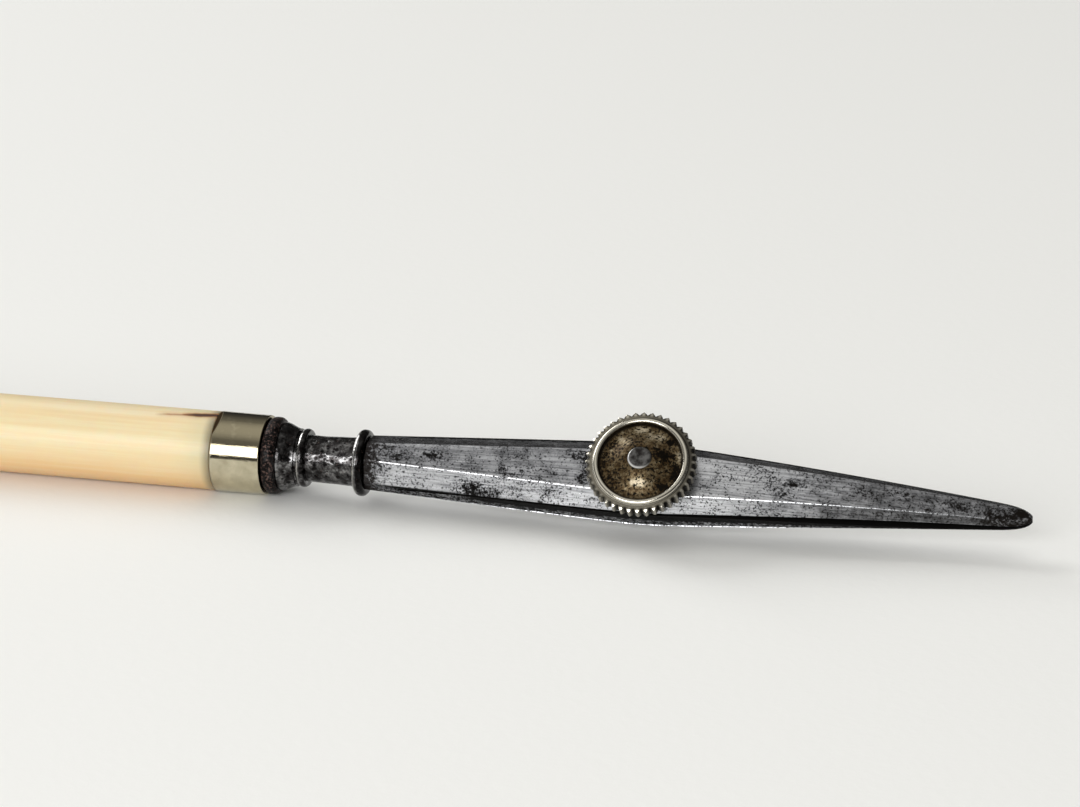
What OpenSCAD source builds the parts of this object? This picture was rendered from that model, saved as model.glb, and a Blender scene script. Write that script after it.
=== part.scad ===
// Ruling pen with a turned bone handle, two steel blades and a milled adjusting screw.
// Millimetres. X runs along the pen to the nib.
// The pen lies on its handle and ferrule, with the screw leaning to -Y.
// The origin is on the pen's axis, where the handle meets the ferrule.

/* [Handle] */
// Diameter of the straight part of the handle
handle_d = 7; // [6:0.1:9]
// Length of the handle behind the ferrule
handle_len = 105; // [80:1:130]
// Length of the straight part, from the ferrule
handle_straight = 58; // [40:1:75]
// Diameter at the rear end, before the dome
handle_end_d = 5.2; // [4:0.1:6]
// Length of the domed rear end
handle_dome = 2; // [1:0.1:3]

/* [Ferrule] */
// Outside diameter of the ferrule at the handle
ferrule_d = 7.1; // [7:0.1:9.5]
// How much smaller the ferrule is at its front rim
ferrule_taper = 0.06; // [0.02:0.01:0.2]
// Length of the ferrule
ferrule_len = 4.5; // [3:0.1:8]
// Wall of the ferrule
ferrule_wall = 0.45; // [0.3:0.05:0.7]
// Chamfer at both rims of the ferrule
ferrule_chamfer = 0.1; // [0.05:0.01:0.2]
// Clearance of cemented and riveted seats
seat_gap = 0.02; // [0.01:0.01:0.05]

/* [Bolster] */
// Diameter of the tang
tang_d = 2.4; // [1.6:0.1:3]
// Length of the tang behind the ferrule
tang_len = 24; // [15:1:40]
// Chamfer at the end of the tang
tang_chamfer = 0.3; // [0.1:0.05:0.5]
// Diameter of the base ring
base_d = 6.85; // [6:0.1:9]
// Width of the base ring
base_w = 0.85; // [0.6:0.05:1.2]
// Height of the base ring's round edge
base_round = 0.2; // [0.1:0.02:0.3]
// Diameter of the cup at the base ring
cup_d = 6.05; // [5.6:0.05:6.4]
// Diameter of the cup at its small end
cup_end_d = 5.15; // [4.8:0.05:5.4]
// Length of the cup
cup_len = 2; // [1.5:0.1:3]
// Diameter of the small bead
bead_d = 5.2; // [4.9:0.1:6]
// Width of the small bead
bead_w = 0.65; // [0.4:0.05:0.9]
// Diameter of the groove between the cup and the bead
groove_d = 4.8; // [4.5:0.1:4.8]
// Width of that groove
groove_w = 0.25; // [0.15:0.05:0.4]
// Diameter of the neck behind the flange
neck_d = 4.4; // [4.2:0.1:4.6]
// Diameter of the neck at its waist
waist_d = 4.14; // [4:0.02:4.2]
// Length of the neck
neck_len = 4.45; // [3.8:0.05:6]
// Diameter of the flange
flange_d = 5.9; // [5:0.05:7]
// Thickness of the flange
flange_w = 0.9; // [0.6:0.05:1.4]
// Height of the flange's round edge
flange_round = 0.4; // [0.2:0.02:0.5]

/* [Blades] */
// Length of the blades from the flange to the tip of the nib
blade_len = 57.7; // [45:0.1:70]
// Distance from the flange to the adjusting screw
screw_x = 24.75; // [18:0.05:30]
// Width of the blades at the flange
root_w = 4.65; // [4.2:0.05:5.2]
// Width of the blades at the screw, before the corner is rounded
screw_w = 6.9; // [6:0.05:8.5]
// Width of the nib where its round end starts
nib_w = 1.75; // [1.2:0.05:3]
// How much the widest corner is rounded off
corner_soft = 0.3; // [0.1:0.05:0.6]
// Length of the round end of the nib
nib_round = 3.4; // [2:0.1:5]
// Width of each bevel at the flange
root_bevel = 1.5; // [1.2:0.05:1.7]
// Width of each bevel at the screw
screw_bevel = 1.25; // [0.8:0.05:1.6]
// Width of each bevel at the tip
nib_bevel = 0.25; // [0.1:0.05:0.4]

/* [Front blade] */
// Height of the outer face above the pen's axis at the flange
front_root_z = 2.36; // [2.1:0.02:2.6]
// Height of the outer face at the screw
front_screw_z = 2.82; // [2.5:0.02:3.2]
// Height of the outer face at the tip
front_nib_z = 0.42; // [0.3:0.01:0.6]
// Height of the bevels at the flange
front_root_t = 1.65; // [1.3:0.05:1.8]
// Height of the bevels at the screw
front_screw_t = 1.15; // [0.9:0.05:1.4]
// Height of the bevels at the tip
front_nib_t = 0.35; // [0.2:0.01:0.45]
// Square edge below the bevels at the flange
front_root_edge = 0.46; // [0.2:0.02:0.6]
// Length over which that square edge dies away
front_edge_fade = 10; // [6:0.5:16]
// Square edge that is left beyond it
front_edge = 0.06; // [0.04:0.01:0.15]
// How long the bevels keep their height on the way to the tip
front_bevel_hold = 3; // [1:0.5:4]

/* [Slot] */
// Gap between the blades at the flange
slot_root = 0.23; // [0.15:0.01:0.35]
// Gap between the blades at the screw
slot_screw = 0.35; // [0.2:0.01:0.5]
// Gap between the tips of the nib
slot_nib = 0.2; // [0.1:0.01:0.3]
// Extra gap in the belly that holds the ink
slot_belly = 0.9; // [0.4:0.05:1]
// How far that belly leans towards the tip
belly_lean = 1.5; // [1:0.1:2]

/* [Back blade] */
// Depth of the square edge below the pen's axis at the flange
back_root_z = 0.5; // [0.4:0.02:0.7]
// Depth of the square edge at the screw
back_screw_z = 0.6; // [0.5:0.02:0.9]
// Depth of the square edge at the tip
back_nib_z = 0.42; // [0.35:0.01:0.5]
// Height of the bevels at the flange
back_root_t = 1.65; // [1.3:0.05:1.8]
// Height of the bevels at the screw
back_screw_t = 1.15; // [0.8:0.05:1.4]
// Height of the bevels at the tip
back_nib_t = 0.2; // [0.1:0.01:0.3]

/* [Shanks] */
// Width of both shanks in the bolster
shank_w = 1.9; // [1.6:0.1:2.1]
// Thickness of each shank
shank_t = 0.9; // [0.7:0.05:1]
// Side clearance of the shanks in the bolster
shank_side_gap = 0.03; // [0.02:0.01:0.06]
// How far each shank runs on into its blade
shank_root = 1; // [0.5:0.1:2]
// Length of the shanks behind the front face of the flange
shank_len = 3.6; // [3:0.1:4]
// Clearance round the heel of the front shank
heel_gap = 0.05; // [0.03:0.01:0.08]
// Room above the front shank, for the blade to spring open
spring_room = 0.22; // [0.18:0.01:0.26]
// Clearance between the front blade and the flange
root_gap = 0.12; // [0.1:0.01:0.2]

/* [Adjusting screw] */
// Diameter of the screw
screw_d = 2.08; // [1.6:0.02:2.4]
// Radial clearance of the screw in the front blade
front_hole_gap = 0.06; // [0.04:0.01:0.1]
// Radial clearance of the screw in the back blade, where its thread runs
back_hole_gap = 0.12; // [0.12:0.01:0.2]
// Length of the screw below the back blade
screw_out = 0.6; // [0.3:0.05:0.9]
// Height of the riveted end above the dome
rivet_h = 0.14; // [0.05:0.01:0.3]
// Chamfer at both ends of the screw
screw_chamfer = 0.16; // [0.05:0.01:0.25]

/* [Milled head] */
// Diameter over the milled edge
head_d = 9.52; // [8:0.02:11]
// Number of teeth on the milled edge
tooth_count = 40; // [30:1:50]
// Depth of the milling
tooth_h = 0.34; // [0.2:0.02:0.45]
// Chamfer at both ends of the teeth
tooth_chamfer = 0.12; // [0.05:0.01:0.18]
// Thickness of the milled band
band_t = 1; // [0.6:0.05:1.3]
// Clearance between the collar and the front blade
collar_gap = 0.03; // [0.02:0.01:0.06]
// Diameter of the collar under the band
collar_d = 4.6; // [3.6:0.1:5.4]
// Height of the collar
collar_h = 1; // [0.8:0.05:1.5]
// Radius of the cove between the collar and the band
cove_r = 0.6; // [0.2:0.05:0.75]
// Diameter of the raised bead at its crest
ring_d = 7.7; // [6.8:0.05:8]
// Width of the raised bead
ring_w = 0.5; // [0.3:0.05:0.6]
// Height of the bead above the band
ring_h = 0.32; // [0.2:0.05:0.5]
// Depth of the groove inside the bead, from its crest
dish_depth = 0.3; // [0.2:0.02:0.45]
// Rise of the dome from that groove to the screw
dome_rise = 0.8; // [0.5:0.05:1.2]

/* [Lie] */
// Roll of the pen on its handle, from screw-up towards -Y
lie_roll = 42; // [0:1:70]

/* [Hidden] */
$fn = 96;
bone = "#ecdcae";
nickel_silver = "#b9b39a";
dark_steel = "#38332f";
grey_steel = "#8f8e8b";
eps = 0.01;
dome_steps = 10;

spigot_d = ferrule_d - 2 * ferrule_wall - 2 * seat_gap;
tang_bore_d = tang_d + 2 * seat_gap;
base_x = ferrule_len + seat_gap;
cup_x = base_x + base_w;
groove_x = cup_x + cup_len;
bead_x = groove_x + groove_w;
neck_x = bead_x + bead_w;
flange_x = neck_x + neck_len;
face_x = flange_x + flange_w;
tip_x = face_x + blade_len;
hole_x = face_x + screw_x;
nib_span = blade_len - screw_x;

// The front blade turns about the axis of its heel, which is across the pen
heel_r = shank_t / 2;
heel_x = face_x - shank_len + heel_r + heel_gap;

// Share of the way from the screw to the tip, and from the flange to the screw
function nib_share(x) = max(0, (x - hole_x) / nib_span);
function root_share(x) = min(1, (x - face_x) / screw_x);
// A value that runs straight from the flange to the screw and on to the tip
function run(x, root, mid, nib) = x < hole_x
    ? root + (mid - root) * root_share(x)
    : mid + (nib - mid) * nib_share(x);
// The smaller of two lines, with the corner between them rounded
function soft_min(a, b) = (a + b - sqrt((a - b) * (a - b) + corner_soft * corner_soft)) / 2;

// Half the width of both blades: two straight tapers that meet at the screw, and an elliptical end
function rear_half(x) = (root_w + (screw_w - root_w) * (x - face_x) / screw_x) / 2;
function nib_half(x) = (screw_w + (nib_w - screw_w) * (x - hole_x) / nib_span) / 2;
function end_share(x) = max(0, (x - tip_x + nib_round) / nib_round);
function round_end(x) = sqrt(max(0, 1 - end_share(x) * end_share(x)));
function half_w(x) = soft_min(rear_half(x), nib_half(x)) * round_end(x);
function bevel_w(x) = run(x, root_bevel, screw_bevel, nib_bevel) * round_end(x);

// Heights of the front blade's outer face, bevel foot and inner face
function front_face(x) = x < hole_x
    ? run(x, front_root_z, front_screw_z, front_nib_z)
    : front_screw_z + (front_nib_z - front_screw_z) * nib_share(x) * nib_share(x);
function front_bevel(x) = x < hole_x
    ? run(x, front_root_t, front_screw_t, front_nib_t)
    : front_screw_t + (front_nib_t - front_screw_t) * pow(nib_share(x), front_bevel_hold);
function fade_share(x) = max(0, 1 - (x - face_x) / front_edge_fade);
function front_square(x) = front_edge + (front_root_edge - front_edge) * fade_share(x);
function front_inner(x) = front_face(x) - front_bevel(x) - front_square(x);

// The slot is a straight taper with a belly between the screw and the tip
function belly(x) = sin(180 * pow(nib_share(x), belly_lean));
function slot(x) = run(x, slot_root, slot_screw, slot_nib) + slot_belly * belly(x);
function back_inner(x) = front_inner(x) - slot(x);
function back_edge(x) = -run(x, back_root_z, back_screw_z, back_nib_z);
function back_face(x) = back_edge(x) - run(x, back_root_t, back_screw_t, back_nib_t);

// The shanks carry the slot straight back into the bolster
front_shank_z = front_inner(face_x);
back_shank_z = back_inner(face_x) - shank_t;
heel_z = front_shank_z + heel_r;

// Heights of the screw and its head
collar_z = front_screw_z + collar_gap;
band_z = collar_z + collar_h;
band_top = band_z + band_t;
ring_top = band_top + ring_h;
dish_z = ring_top - dish_depth;
dome_top = dish_z + dome_rise;
screw_top = dome_top + rivet_h;
screw_foot = back_face(hole_x) - screw_out;

// Stations along a blade: even steps, then closer ones round the end of the nib, which stops a stub short
blade_steps = 36;
end_steps = 10;
end_stub = 0.002;
function stations(from) = concat(
    [for (i = [0:blade_steps - 1]) from + (tip_x - nib_round - from) * i / blade_steps],
    [for (i = [0:end_steps]) tip_x - nib_round + nib_round * sin(90 * i / end_steps) * (1 - end_stub)]);

function front_section(x) = [
    [x, -half_w(x), front_inner(x)],
    [x, half_w(x), front_inner(x)],
    [x, half_w(x), front_face(x) - front_bevel(x)],
    [x, half_w(x) - bevel_w(x), front_face(x)],
    [x, bevel_w(x) - half_w(x), front_face(x)],
    [x, -half_w(x), front_face(x) - front_bevel(x)]];
function back_section(x) = [
    [x, bevel_w(x) - half_w(x), back_face(x)],
    [x, half_w(x) - bevel_w(x), back_face(x)],
    [x, half_w(x), back_edge(x)],
    [x, half_w(x), back_inner(x)],
    [x, -half_w(x), back_inner(x)],
    [x, -half_w(x), back_edge(x)]];

// Skin over a row of equal rings, with flat ends
module skin(rings) {
    sides = len(rings[0]);
    last = len(rings) - 1;
    points = [for (ring = rings) each ring];
    walls = [for (i = [0:last - 1]) for (j = [0:sides - 1])
        let (a = i * sides + j, b = i * sides + (j + 1) % sides)
        each [[a, a + sides, b], [b, a + sides, b + sides]]];
    rear = [for (j = [0:sides - 1]) j];
    front = [for (j = [sides - 1:-1:0]) last * sides + j];
    polyhedron(points = points, faces = concat(walls, [rear], [front]));
}

// Solid turned about the pen's axis from [x, radius] points
module turned(outline) {
    rotate([0, 90, 0])
        rotate_extrude()
            polygon([for (p = outline) [p[1], p[0]]]);
}

// Places a piece as the pen lies on its handle
module laid() {
    rotate([lie_roll, 0, 0])
        children();
}

// Points of an ellipse from angle a to angle b, about a centre
function arc(cx, cr, rx, rr, a, b, steps = 8) =
    [for (i = [0:steps]) let (t = a + (b - a) * i / steps) [cx + rx * cos(t), cr + rr * sin(t)]];

// Points of a smooth step in radius, flat at both ends
function ogee(x, length, r_a, r_b, steps = 10) =
    [for (i = [0:steps]) [x + length * i / steps, r_b + (r_a - r_b) * (1 + cos(180 * i / steps)) / 2]];

// Points of a radius that leaves r_a level and reaches r_b in a curve
function flare(x, length, r_a, r_b, steps = 10) =
    [for (i = [0:steps]) [x + length * i / steps, r_a + (r_b - r_a) * pow(i / steps, 2)]];

// Turned bone handle with a spigot for the ferrule and a bore for the tang
module handle() {
    dome_x = handle_dome - handle_len;
    color(bone)
        laid()
            turned(concat(
                [[0, spigot_d / 2], [0, handle_d / 2]],
                flare(-handle_straight, handle_straight + dome_x, handle_d / 2, handle_end_d / 2),
                arc(dome_x, 0, handle_dome, handle_end_d / 2, 90, 180),
                [[-tang_len - seat_gap, 0],
                [-tang_len - seat_gap, tang_bore_d / 2],
                [ferrule_len, tang_bore_d / 2],
                [ferrule_len, spigot_d / 2]]));
}

// Nickel-silver tube, drawn with a slight taper, that binds the front end of the handle
module ferrule() {
    bore_r = ferrule_d / 2 - ferrule_wall;
    rear_r = ferrule_d / 2;
    front_r = (ferrule_d - ferrule_taper) / 2;
    color(nickel_silver)
        laid()
            turned([
                [0, bore_r],
                [0, rear_r - ferrule_chamfer],
                [ferrule_chamfer, rear_r],
                [ferrule_len - ferrule_chamfer, front_r],
                [ferrule_len, front_r - ferrule_chamfer],
                [ferrule_len, bore_r]]);
}

// Room in the bolster for both shanks, with a round end for the heel of the front one
module socket() {
    pocket_w = shank_w + 2 * shank_side_gap;
    translate([face_x - shank_len, -pocket_w / 2, back_shank_z])
        cube([shank_len + eps, pocket_w, front_shank_z - back_shank_z]);
    translate([heel_x, -pocket_w / 2, front_shank_z - heel_gap])
        cube([face_x - heel_x + eps, pocket_w, shank_t + heel_gap + spring_room]);
    translate([heel_x, 0, heel_z])
        rotate([90, 0, 0])
            cylinder(r = heel_r + heel_gap, h = pocket_w, center = true);
}

// Turned steel bolster with its mouldings, tang and socket
module bolster() {
    flange_mid = flange_x + flange_w / 2;
    outline = concat(
        [[-tang_len, 0],
        [-tang_len, tang_d / 2 - tang_chamfer],
        [tang_chamfer - tang_len, tang_d / 2],
        [base_x, tang_d / 2]],
        arc(base_x + base_w / 2, base_d / 2 - base_round, base_w / 2, base_round, 180, 0),
        ogee(cup_x, cup_len, cup_d / 2, cup_end_d / 2),
        [[groove_x, groove_d / 2]],
        arc(bead_x + bead_w / 2, groove_d / 2, bead_w / 2, (bead_d - groove_d) / 2, 180, 0),
        flare(neck_x, neck_len, waist_d / 2, neck_d / 2),
        arc(flange_mid, flange_d / 2 - flange_round, flange_w / 2, flange_round, 180, 0),
        [[face_x, 0]]);
    color(dark_steel)
        laid()
            difference() {
                turned(outline);
                socket();
            }
}

// Hole for the screw through both blades
module screw_hole(gap) {
    translate([hole_x, 0, screw_foot])
        cylinder(d = screw_d + 2 * gap, h = screw_top - screw_foot);
}

// Thick lower blade, fixed in the bolster, with the tapped hole
module back_blade() {
    color(grey_steel)
        laid()
            difference() {
                union() {
                    skin([for (x = stations(face_x)) back_section(x)]);
                    translate([face_x - shank_len, -shank_w / 2, back_shank_z])
                        cube([shank_len + shank_root, shank_w, shank_t]);
                }
                screw_hole(back_hole_gap);
            }
}

// Springy upper blade, which turns on the heel of its shank
module front_blade() {
    color(grey_steel)
        laid()
            difference() {
                union() {
                    skin([for (x = stations(face_x + root_gap)) front_section(x)]);
                    translate([heel_x, -shank_w / 2, front_shank_z])
                        cube([face_x + root_gap + shank_root - heel_x, shank_w, shank_t]);
                    translate([heel_x, 0, heel_z])
                        rotate([90, 0, 0])
                            cylinder(r = heel_r, h = shank_w, center = true);
                }
                screw_hole(front_hole_gap);
            }
}

// Steel screw, riveted in the middle of its head
module adjusting_screw() {
    screw_r = screw_d / 2;
    color(grey_steel)
        laid()
            translate([hole_x, 0, 0])
                rotate_extrude()
                    polygon([
                        [0, screw_foot],
                        [screw_r - screw_chamfer, screw_foot],
                        [screw_r, screw_foot + screw_chamfer],
                        [screw_r, screw_top - screw_chamfer],
                        [screw_r - screw_chamfer, screw_top],
                        [0, screw_top]]);
}

// Milled edge: straight V teeth, with their ends chamfered
module milled_band() {
    head_r = head_d / 2;
    root_r = head_r - tooth_h;
    intersection() {
        translate([0, 0, band_z])
            linear_extrude(band_t)
                polygon([for (i = [0:2 * tooth_count - 1])
                    let (r = i % 2 == 0 ? head_r : root_r, a = 180 * i / tooth_count)
                    [r * cos(a), r * sin(a)]]);
        rotate_extrude()
            polygon([
                [collar_d / 2, band_z],
                [head_r - tooth_chamfer, band_z],
                [head_r, band_z + tooth_chamfer],
                [head_r, band_top - tooth_chamfer],
                [head_r - tooth_chamfer, band_top],
                [collar_d / 2, band_top]]);
    }
}

// Nickel-silver screw head with a collar, a milled band, a bead and a dome
module milled_head() {
    bore_r = screw_d / 2 + seat_gap;
    ring_r = ring_d / 2;
    dish_r = ring_r - ring_w / 2;
    seam_r = head_d / 2 - tooth_h - tooth_chamfer;
    outline = concat(
        [[bore_r, collar_z], [collar_d / 2, collar_z]],
        arc(collar_d / 2 + cove_r, band_z - cove_r, cove_r, cove_r, 180, 90),
        [[seam_r, band_z], [seam_r, band_top], [ring_r + ring_w / 2, band_top]],
        arc(ring_r, ring_top - ring_w / 2, ring_w / 2, ring_w / 2, 0, 180),
        [for (i = [0:dome_steps]) let (s = 1 - i / dome_steps)
            [bore_r + (dish_r - bore_r) * s, dome_top - dome_rise * (1 - cos(180 * s)) / 2]]);
    color(nickel_silver)
        laid()
            translate([hole_x, 0, 0])
                union() {
                    rotate_extrude()
                        polygon(outline);
                    milled_band();
                }
}

handle();
ferrule();
bolster();
back_blade();
front_blade();
adjusting_screw();
milled_head();
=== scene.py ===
import math
from functools import partial

import bpy
import numpy as np
from mathutils import Matrix, Vector


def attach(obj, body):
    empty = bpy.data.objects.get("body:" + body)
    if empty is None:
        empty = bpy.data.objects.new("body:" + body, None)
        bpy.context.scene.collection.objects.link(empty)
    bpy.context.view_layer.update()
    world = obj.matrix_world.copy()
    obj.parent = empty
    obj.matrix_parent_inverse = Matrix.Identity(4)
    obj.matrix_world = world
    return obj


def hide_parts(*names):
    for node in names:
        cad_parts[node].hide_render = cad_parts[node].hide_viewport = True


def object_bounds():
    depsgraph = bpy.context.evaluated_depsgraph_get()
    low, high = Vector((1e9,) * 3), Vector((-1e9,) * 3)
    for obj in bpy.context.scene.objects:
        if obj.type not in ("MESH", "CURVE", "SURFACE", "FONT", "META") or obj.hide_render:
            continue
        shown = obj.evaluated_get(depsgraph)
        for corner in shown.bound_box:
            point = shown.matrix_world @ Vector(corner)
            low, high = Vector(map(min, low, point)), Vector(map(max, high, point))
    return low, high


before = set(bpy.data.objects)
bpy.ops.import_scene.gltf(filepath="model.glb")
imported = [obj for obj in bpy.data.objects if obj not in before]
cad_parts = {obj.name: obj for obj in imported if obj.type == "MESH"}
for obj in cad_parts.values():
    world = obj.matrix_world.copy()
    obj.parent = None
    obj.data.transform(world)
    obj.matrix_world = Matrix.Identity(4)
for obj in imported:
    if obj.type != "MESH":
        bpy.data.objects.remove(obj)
cadLow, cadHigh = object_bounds()
print("frame loaded with", ", ".join(sorted(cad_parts)))

# The pen's own axes, in mm: x runs to the nib, y across the blades, z out through the screw head.
pen = {"roll": 42.0, "holeX": 38.37, "faceX": 13.62, "tipX": 71.31}
rollAngle = math.radians(pen["roll"])
upAxis = (0, math.sin(rollAngle), math.cos(rollAngle))  # the frame's upward direction, in the pen's axes


def lay(points):  # from the pen's axes in mm to the frame in metres: turned by the roll about x
    x, y, z = np.moveaxis(points, -1, 0)
    _, s, c = upAxis
    return np.stack([x, y * c - z * s, y * s + z * c], axis=-1) / 1000.0


def ramp(value, start, length):  # 0 as far as the start, 1 from one length on, straight between
    return np.clip((value - start) / length, 0, 1)


def bell(value, centre, width):  # 1 at the centre; e to the minus square of the distance in widths
    return np.exp(-((value - centre) / width) ** 2)


def arcRun(cx, cr, rx, rr, startDeg, endDeg, steps):  # points on an ellipse, between two angles
    t = np.radians(np.linspace(startDeg, endDeg, steps + 1))
    return np.stack([cx + rx * np.cos(t), cr + rr * np.sin(t)], axis=-1)


def finer(run, step):  # the same polyline with points no further apart than step; corners are kept
    run = np.asarray(run, float)
    gaps = np.linalg.norm(np.diff(run, axis=0), axis=1)
    parts = [a + (b - a) * np.linspace(0, 1, max(1, math.ceil(g / step)), endpoint=False)[:, None]
             for a, b, g in zip(run[:-1], run[1:], gaps) if g > 1e-9]
    return np.concatenate(parts + [run[-1:]])


def turnAbout(run, around):  # each profile point (x, r) becomes a ring: y = r cos a, z = r sin a
    a = np.linspace(0, 2 * np.pi, around, endpoint=False)
    x = np.repeat(run[:, :1], around, axis=1)
    return np.stack([x, run[:, 1:] * np.cos(a), run[:, 1:] * np.sin(a)], axis=-1)


def polar(rings):  # radius and angle of each point about the pen's axis
    return np.hypot(rings[..., 1], rings[..., 2]), np.arctan2(rings[..., 2], rings[..., 1])


def skinRings(name, rings, loop=False, marks=None):
    # rings of equal count joined by quads; open ends close on a middle point, a loop joins last to first
    count, around = rings.shape[:2]
    points = rings.reshape(-1, 3)
    index = np.arange(count * around).reshape(count, around)
    turned = np.roll(index, -1, axis=1)
    here, there = (index, np.roll(index, -1, axis=0)) if loop else (index[:-1], index[1:])
    quads = np.stack([here, np.roll(here, -1, axis=1), np.roll(there, -1, axis=1), there], axis=-1)
    quads = quads.reshape(-1, 4)
    caps = np.empty((0, 3), int)
    values = {key: mark.reshape(-1) for key, mark in (marks or {}).items()}
    if not loop:
        first = len(points)
        points = np.concatenate([points, rings[[0, -1]].mean(axis=1)])
        values = {key: np.append(v, [v[:around].mean(), v[-around:].mean()]) for key, v in values.items()}
        caps = np.concatenate([np.stack([turned[0], index[0], np.full(around, first)], axis=-1),
                               np.stack([index[-1], turned[-1], np.full(around, first + 1)], axis=-1)])
    placed = lay(points)
    mesh = bpy.data.meshes.new(name)
    mesh.from_pydata(placed.tolist(), [], quads.tolist() + caps.tolist())
    a, b, c = np.moveaxis(placed[np.concatenate([quads[:, :3], quads[:, [0, 2, 3]], caps])], 1, 0)
    if np.einsum("ij,ij->i", a, np.cross(b, c)).sum() < 0:  # signed volume: outwards is positive
        mesh.flip_normals()
    for key, v in values.items():
        mesh.attributes.new(key, "FLOAT", "POINT").data.foreach_set("value", v.astype(np.float32))
    mesh.shade_smooth()
    piece = bpy.data.objects.new(name, mesh)
    bpy.context.scene.collection.objects.link(piece)
    return piece


def crisp(piece, degrees):  # edges sharper than this stay sharp, and flat faces keep flat shading
    piece.data.set_sharp_from_angle(angle=math.radians(degrees))
    weight = piece.modifiers.new("faceWeight", "WEIGHTED_NORMAL")
    weight.keep_sharp = True


def drill(piece, radius, low, high, around=64):  # takes a round hole out of a blade, along the screw's axis
    rings = turnAbout(np.array([[low, radius], [high, radius]]), around)
    rings = np.stack([pen["holeX"] + rings[..., 2], rings[..., 1], rings[..., 0]], axis=-1)
    cutter = skinRings("cutter", rings)
    cut = piece.modifiers.new("hole", "BOOLEAN")
    cut.operation, cut.solver, cut.object = "DIFFERENCE", "EXACT", cutter
    depsgraph = bpy.context.evaluated_depsgraph_get()
    solid = piece.evaluated_get(depsgraph)
    mesh = bpy.data.meshes.new_from_object(solid, preserve_all_data_layers=True, depsgraph=depsgraph)
    piece.modifiers.remove(cut)
    piece.data = mesh
    bpy.data.objects.remove(cutter)


# Handle: a straight turned rod that thins in a curve to a domed end, bored for the tang
handle = {"radius": 3.5, "length": 105.0, "straight": 58.0, "endRadius": 2.6, "dome": 2.0, "rim": 0.06,
          "spigot": 3.08, "spigotEnd": 4.5, "bore": 1.22, "boreEnd": -24.02, "skinFrom": 3.3,
          "around": 288, "step": 0.3, "coarse": 1.2, "fineFrom": -7.5,
          "crackFrom": -5.7, "crackAngle": 54.0, "crackSlant": 1.7, "crackWidth": 0.12, "crackOpen": 0.09,
          "stainWidth": 0.45, "stain": 0.3}


def makeHandle():
    h = handle
    domeX = h["dome"] - h["length"]
    t = np.linspace(1, 0, 60)  # the taper thins with the square of the way along it
    taper = np.stack([-h["straight"] + (domeX + h["straight"]) * t,
                      h["radius"] + (h["endRadius"] - h["radius"]) * t ** 2], axis=-1)
    rear = np.concatenate([arcRun(domeX, 0, h["dome"], h["endRadius"], 179, 90, 24), taper[1:],
                           [[-h["straight"], h["radius"]], [h["fineFrom"], h["radius"]]]])
    front = [[h["fineFrom"], h["radius"]], [-h["rim"], h["radius"]], [0, h["radius"] - h["rim"]],
             [0, h["spigot"]], [h["spigotEnd"], h["spigot"]]]
    hole = [[h["spigotEnd"], h["spigot"]], [h["spigotEnd"], h["bore"]], [h["boreEnd"], h["bore"]]]
    run = np.concatenate([finer(rear, h["coarse"])[:-1], finer(front, h["step"])[:-1],
                          finer(hole, h["coarse"])])
    rings = turnAbout(run, h["around"])
    # the crack runs a little askew and widens towards the ferrule
    x = rings[..., 0]
    radius, angle = polar(rings)
    along = ramp(x, h["crackFrom"], -h["crackFrom"])
    wander = 0.02 * np.sin(3.1 * x) + 0.015 * np.sin(7.3 * x + 1)
    off = np.radians(np.degrees(angle) - h["crackAngle"] + h["crackSlant"] * x) * h["radius"] - wander
    opened = ramp(along, 0.42, 0.25)
    hair = bell(off, 0, h["crackWidth"] + h["crackOpen"] * opened)
    hair += h["stain"] * bell(off, 0, h["stainWidth"])
    crack = np.clip(hair, 0, 1) * (0.35 * ramp(along, 0, 0.2) + 0.65 * opened) * (radius > h["skinFrom"])
    return skinRings("handleTurned", rings, marks={"crack": crack})


# Ferrule: a drawn tube with softened rims; its rear rim was cut a little askew, and the wedge this leaves is
# only painted
ferrule = {"bore": 3.10, "rear": 3.55, "front": 3.52, "length": 4.5, "rim": 0.1, "around": 256, "step": 0.06,
           "skinFrom": 3.3, "wedgeAngle": 64.0, "wedgeSpread": 32.0, "wedgeWidth": 0.45, "wedgeEdge": 0.015,
           "seamWidth": 0.1, "seam": 0.95}


def makeFerrule():
    f = ferrule
    rim = f["rim"]
    run = np.concatenate([
        [[0, f["bore"]]], arcRun(rim, f["rear"] - rim, rim, rim, 180, 90, 6),
        arcRun(f["length"] - rim, f["front"] - rim, rim, rim, 90, 0, 6),
        [[f["length"], f["bore"]], [0.05, f["bore"]]]])
    rings = turnAbout(finer(run, f["step"]), f["around"])
    x = rings[..., 0]
    radius, angle = polar(rings)
    # grime and painted shade fill the wedge that the askew rim leaves open, and a thin dark line marks where
    # the rim meets the bone
    across = (np.degrees(angle) - f["wedgeAngle"]) / f["wedgeSpread"]
    reach = f["wedgeWidth"] * np.clip(1 - across ** 2, 0, 1)
    grimeAndShade = 1 / (1 + np.exp(np.clip((x - reach) / f["wedgeEdge"], -40, 40))) * (reach > 0)
    grimeAndShade = np.maximum(grimeAndShade, f["seam"] * bell(x, 0, f["seamWidth"]))
    return skinRings("ferruleDrawn", rings, loop=True, marks={"grimeAndShade": grimeAndShade * (radius > f["skinFrom"])})


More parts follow.
